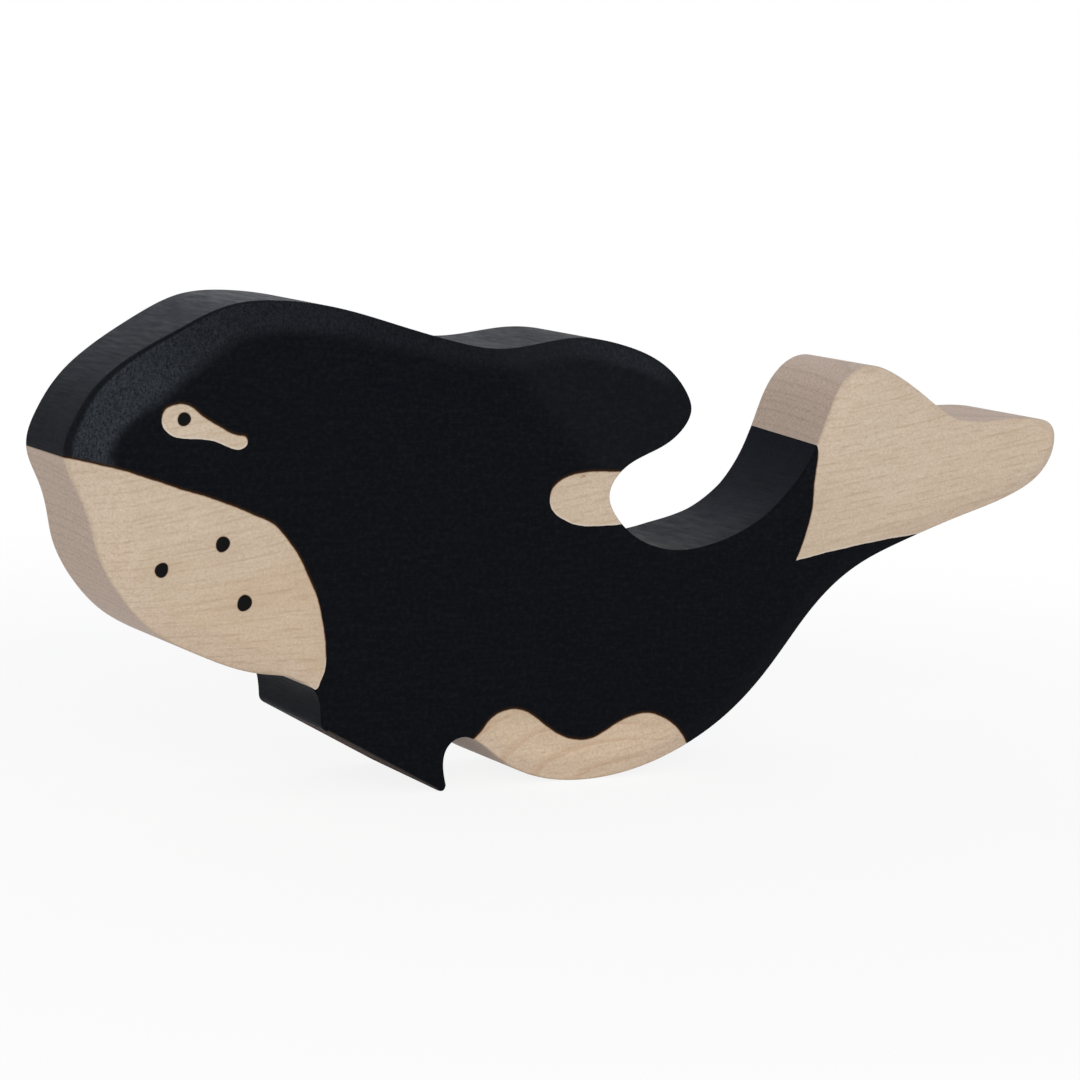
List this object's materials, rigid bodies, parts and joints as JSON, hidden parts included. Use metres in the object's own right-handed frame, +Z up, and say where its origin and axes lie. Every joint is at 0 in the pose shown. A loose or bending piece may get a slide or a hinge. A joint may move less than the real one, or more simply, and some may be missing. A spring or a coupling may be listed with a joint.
{
  "type": "whale figurine",
  "caption": "Flat sawn wooden killer whale toy with sanded bevels and black stain over bare maple, standing on its flipper tip and belly.",
  "frame": {"origin": "bottom centre of the box, on the floor that the flipper tip and the belly touch", "axes": "+X towards the tail, +Y towards the whale's right flank, +Z up"},
  "size_m": [0.1906, 0.025, 0.0815],
  "materials": {
    "natural_maple": "bare sanded maple with fine growth lines, matte",
    "black_stain": "black stain soaked into sanded wood, matte with a faint sheen",
    "black_paint": "small painted dots, matte"
  },
  "bodies": {
    "root": {"maple_body": "natural_maple", "left_flank_stain": "black_stain", "right_flank_stain": "black_stain", "back_edge_stain": "black_stain", "tail_edge_stain": "black_stain", "keel_edge_stain": "black_stain", "flipper_edge_stain": "black_stain", "left_pupil": "black_paint", "right_pupil": "black_paint", "left_snout_spots": "black_paint", "right_snout_spots": "black_paint"}
  },
  "joints": []
}
